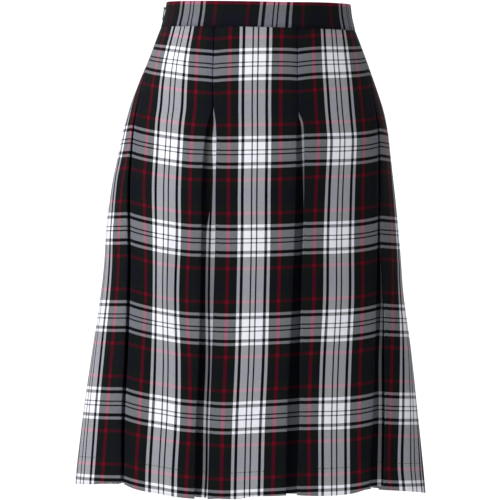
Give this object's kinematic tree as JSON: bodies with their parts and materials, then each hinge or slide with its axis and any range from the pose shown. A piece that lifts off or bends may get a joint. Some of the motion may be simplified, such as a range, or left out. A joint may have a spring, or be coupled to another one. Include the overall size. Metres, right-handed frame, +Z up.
{
  "type": "box pleat skirt",
  "caption": "Knee length box pleat skirt in tartan cloth, in its worn shape, with a waistband and a concealed side zip.",
  "frame": {"origin": "centre of the wearer's waist, halfway up the waistband", "axes": "+X right of the front view, +Y towards the back, +Z up; the front faces -Y"},
  "size_m": [0.4455, 0.201, 0.6347],
  "materials": {
    "tartan_cloth": "woven twill check, dark navy and green with white and red lines",
    "zip_tape": "dark woven tape with a nylon coil",
    "zip_metal": "dark enamel"
  },
  "bodies": {
    "skirt": {"skirt_front": "tartan_cloth", "skirt_back": "tartan_cloth", "waistband": "tartan_cloth", "zip_chain": "zip_tape", "zip_slider": "zip_metal"},
    "pull_tab": {"zip_pull": "zip_metal"}
  },
  "joints": [
    {"name": "pull_tab_swing", "type": "hinge", "parent": "skirt", "child": "pull_tab", "pos_m": [-0.11999, 0.0084, 0.00826], "axis": [0.1381, 0.9904, 0], "range_deg": [0, 150]}
  ]
}
